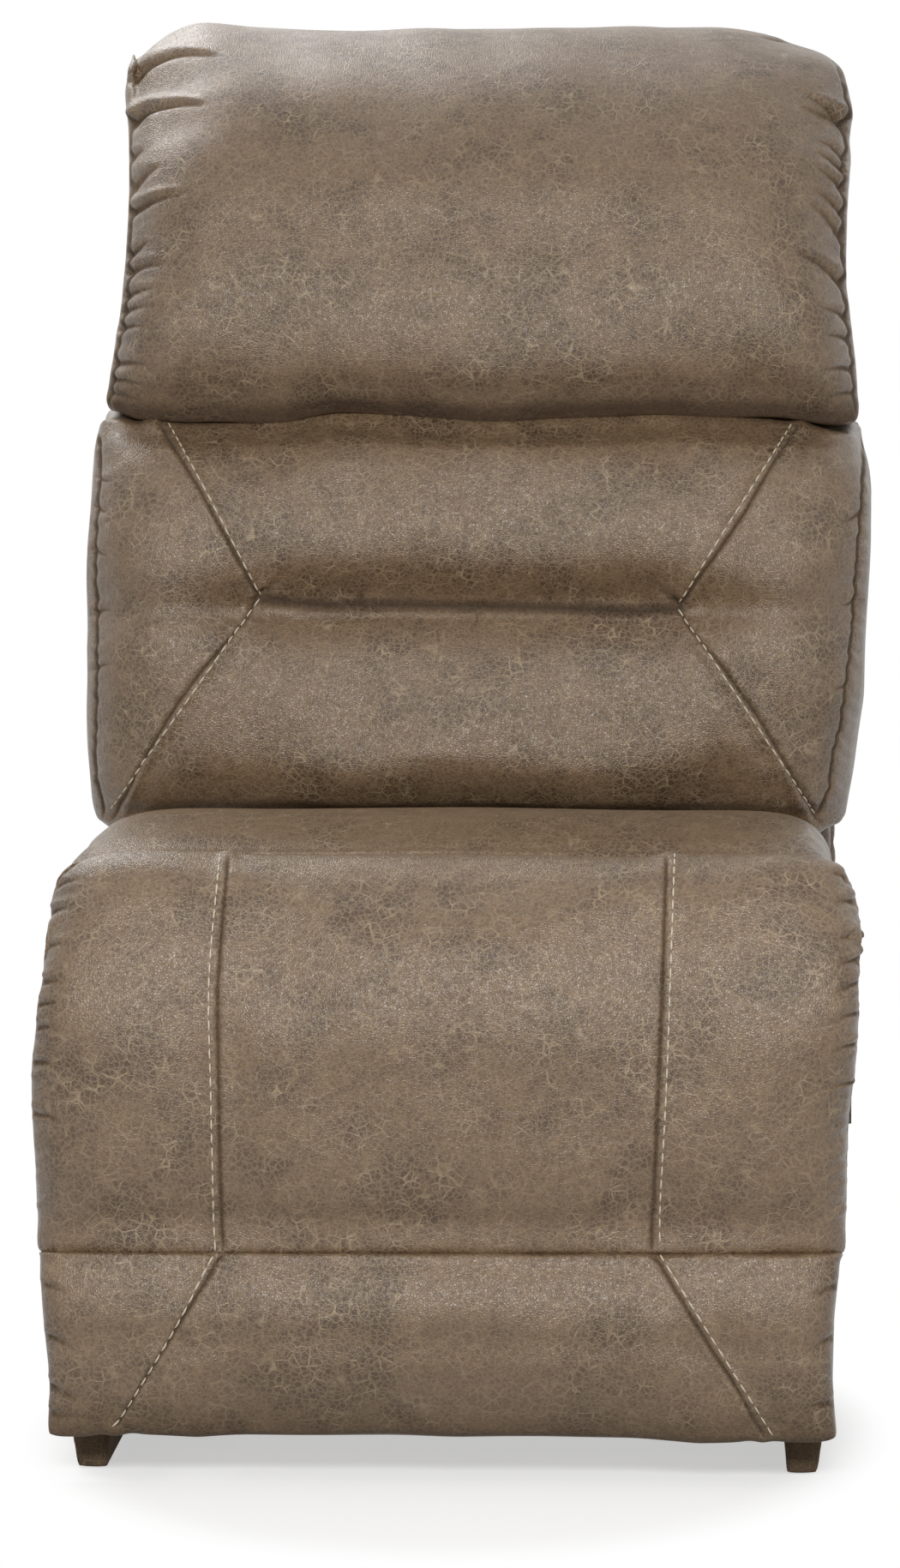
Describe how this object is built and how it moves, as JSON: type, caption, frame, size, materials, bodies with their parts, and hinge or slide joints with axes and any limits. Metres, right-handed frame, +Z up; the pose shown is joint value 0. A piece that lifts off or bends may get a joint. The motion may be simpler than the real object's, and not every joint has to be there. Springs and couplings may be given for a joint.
{
  "type": "armless recliner",
  "caption": "Armless reclining sectional module with a pillow back, stitched faux-leather upholstery, a chaise pad that swings up as a footrest and a glide base.",
  "frame": {"origin": "on the floor, under the middle of the object's bounding box, closed", "axes": "+X to the viewer's right, -Y out of the front, +Z up"},
  "size_m": [0.636, 1.0017, 1.0974],
  "materials": {
    "upholstery": "satin",
    "timber": "matte",
    "black_steel": "satin",
    "zinc_steel": "satin",
    "nylon": "matte",
    "foam": "matte",
    "webbing": "matte"
  },
  "bodies": {
    "base": {"left_side_rail": "upholstery", "right_side_rail": "upholstery", "floor_glides": "nylon", "front_stretcher": "timber", "rear_stretcher": "timber", "rear_base_panel": "upholstery", "left_glide_track": "black_steel", "right_glide_track": "black_steel", "base_screws": "zinc_steel", "left_connector_plate": "black_steel", "right_connector_plate": "black_steel"},
    "seat": {"left_side_plate": "black_steel", "right_side_plate": "black_steel", "left_seat_rail": "timber", "right_seat_rail": "timber", "front_seat_rail": "timber", "rear_seat_rail": "timber", "plate_bolts": "zinc_steel", "glide_shoes": "nylon", "cross_tubes": "black_steel", "drive_tube_bushes": "nylon", "pivot_pins": "zinc_steel", "seat_springs": "zinc_steel", "spring_clips": "zinc_steel", "seat_foam": "foam", "seat_cushion": "upholstery", "left_seat_panel": "upholstery", "right_seat_panel": "upholstery", "panel_blocks": "timber", "tab_grommet": "nylon", "latch_bracket": "black_steel", "latch_pin": "zinc_steel"},
    "footrest": {"footrest_board": "timber", "left_footrest_arm": "black_steel", "right_footrest_arm": "black_steel", "arm_screws": "zinc_steel", "arm_link_pins": "zinc_steel", "chaise_pad": "upholstery", "footrest_bolster": "upholstery"},
    "drive": {"drive_tube": "black_steel", "crank_link_pins": "zinc_steel"},
    "drive_links": {"left_drive_link": "black_steel", "right_drive_link": "black_steel"},
    "back": {"left_back_post": "timber", "right_back_post": "timber", "bottom_back_rail": "timber", "middle_back_rail": "timber", "top_back_rail": "timber", "outside_back": "upholstery", "back_webbing": "webbing", "left_back_bracket": "black_steel", "right_back_bracket": "black_steel", "bracket_bolts": "zinc_steel", "lumbar_cushion": "upholstery", "headrest_cushion": "upholstery", "left_back_side": "upholstery", "right_back_side": "upholstery"},
    "pull": {"pull_tab": "webbing", "tab_ring": "zinc_steel"},
    "latch": {"release_latch": "black_steel"}
  },
  "joints": [
    {"name": "seat_glide", "type": "slide", "parent": "base", "child": "seat", "axis": [0, -1, 0], "range_m": [0, 0.1]},
    {"name": "back_recline", "type": "hinge", "parent": "seat", "child": "back", "pos_m": [0, 0.2, 0.29], "axis": [-1, 0, 0], "range_deg": [0, 34]},
    {"name": "footrest_open", "type": "hinge", "parent": "seat", "child": "footrest", "pos_m": [0, -0.456, 0.415], "axis": [-1, 0, 0], "range_deg": [0, 84], "deforming": ["chaise_pad"]},
    {"name": "tube_turn", "type": "hinge", "parent": "seat", "child": "drive", "pos_m": [0, -0.3, 0.255], "axis": [-1, 0, 0], "range_deg": [0, 84]},
    {"name": "link_swing", "type": "hinge", "parent": "drive", "child": "drive_links", "pos_m": [0, -0.244, 0.15], "axis": [-1, 0, 0], "range_deg": [-84, 0]},
    {"name": "tab_pull", "type": "slide", "parent": "seat", "child": "pull", "axis": [1, 0, 0], "range_m": [0, 0.012], "stiffness_N_per_m": 300},
    {"name": "latch_release", "type": "hinge", "parent": "seat", "child": "latch", "pos_m": [0.2455, -0.37, 0.262], "axis": [0, 1, 0], "range_deg": [0, 15]}
  ],
  "couplings": [
    {"joint": "seat_glide", "follows": "back_recline", "m_per_rad": 0.168},
    {"joint": "tube_turn", "follows": "footrest_open", "ratio": 1},
    {"joint": "link_swing", "follows": "footrest_open", "ratio": -1},
    {"joint": "latch_release", "follows": "tab_pull", "rad_per_m": 21}
  ]
}
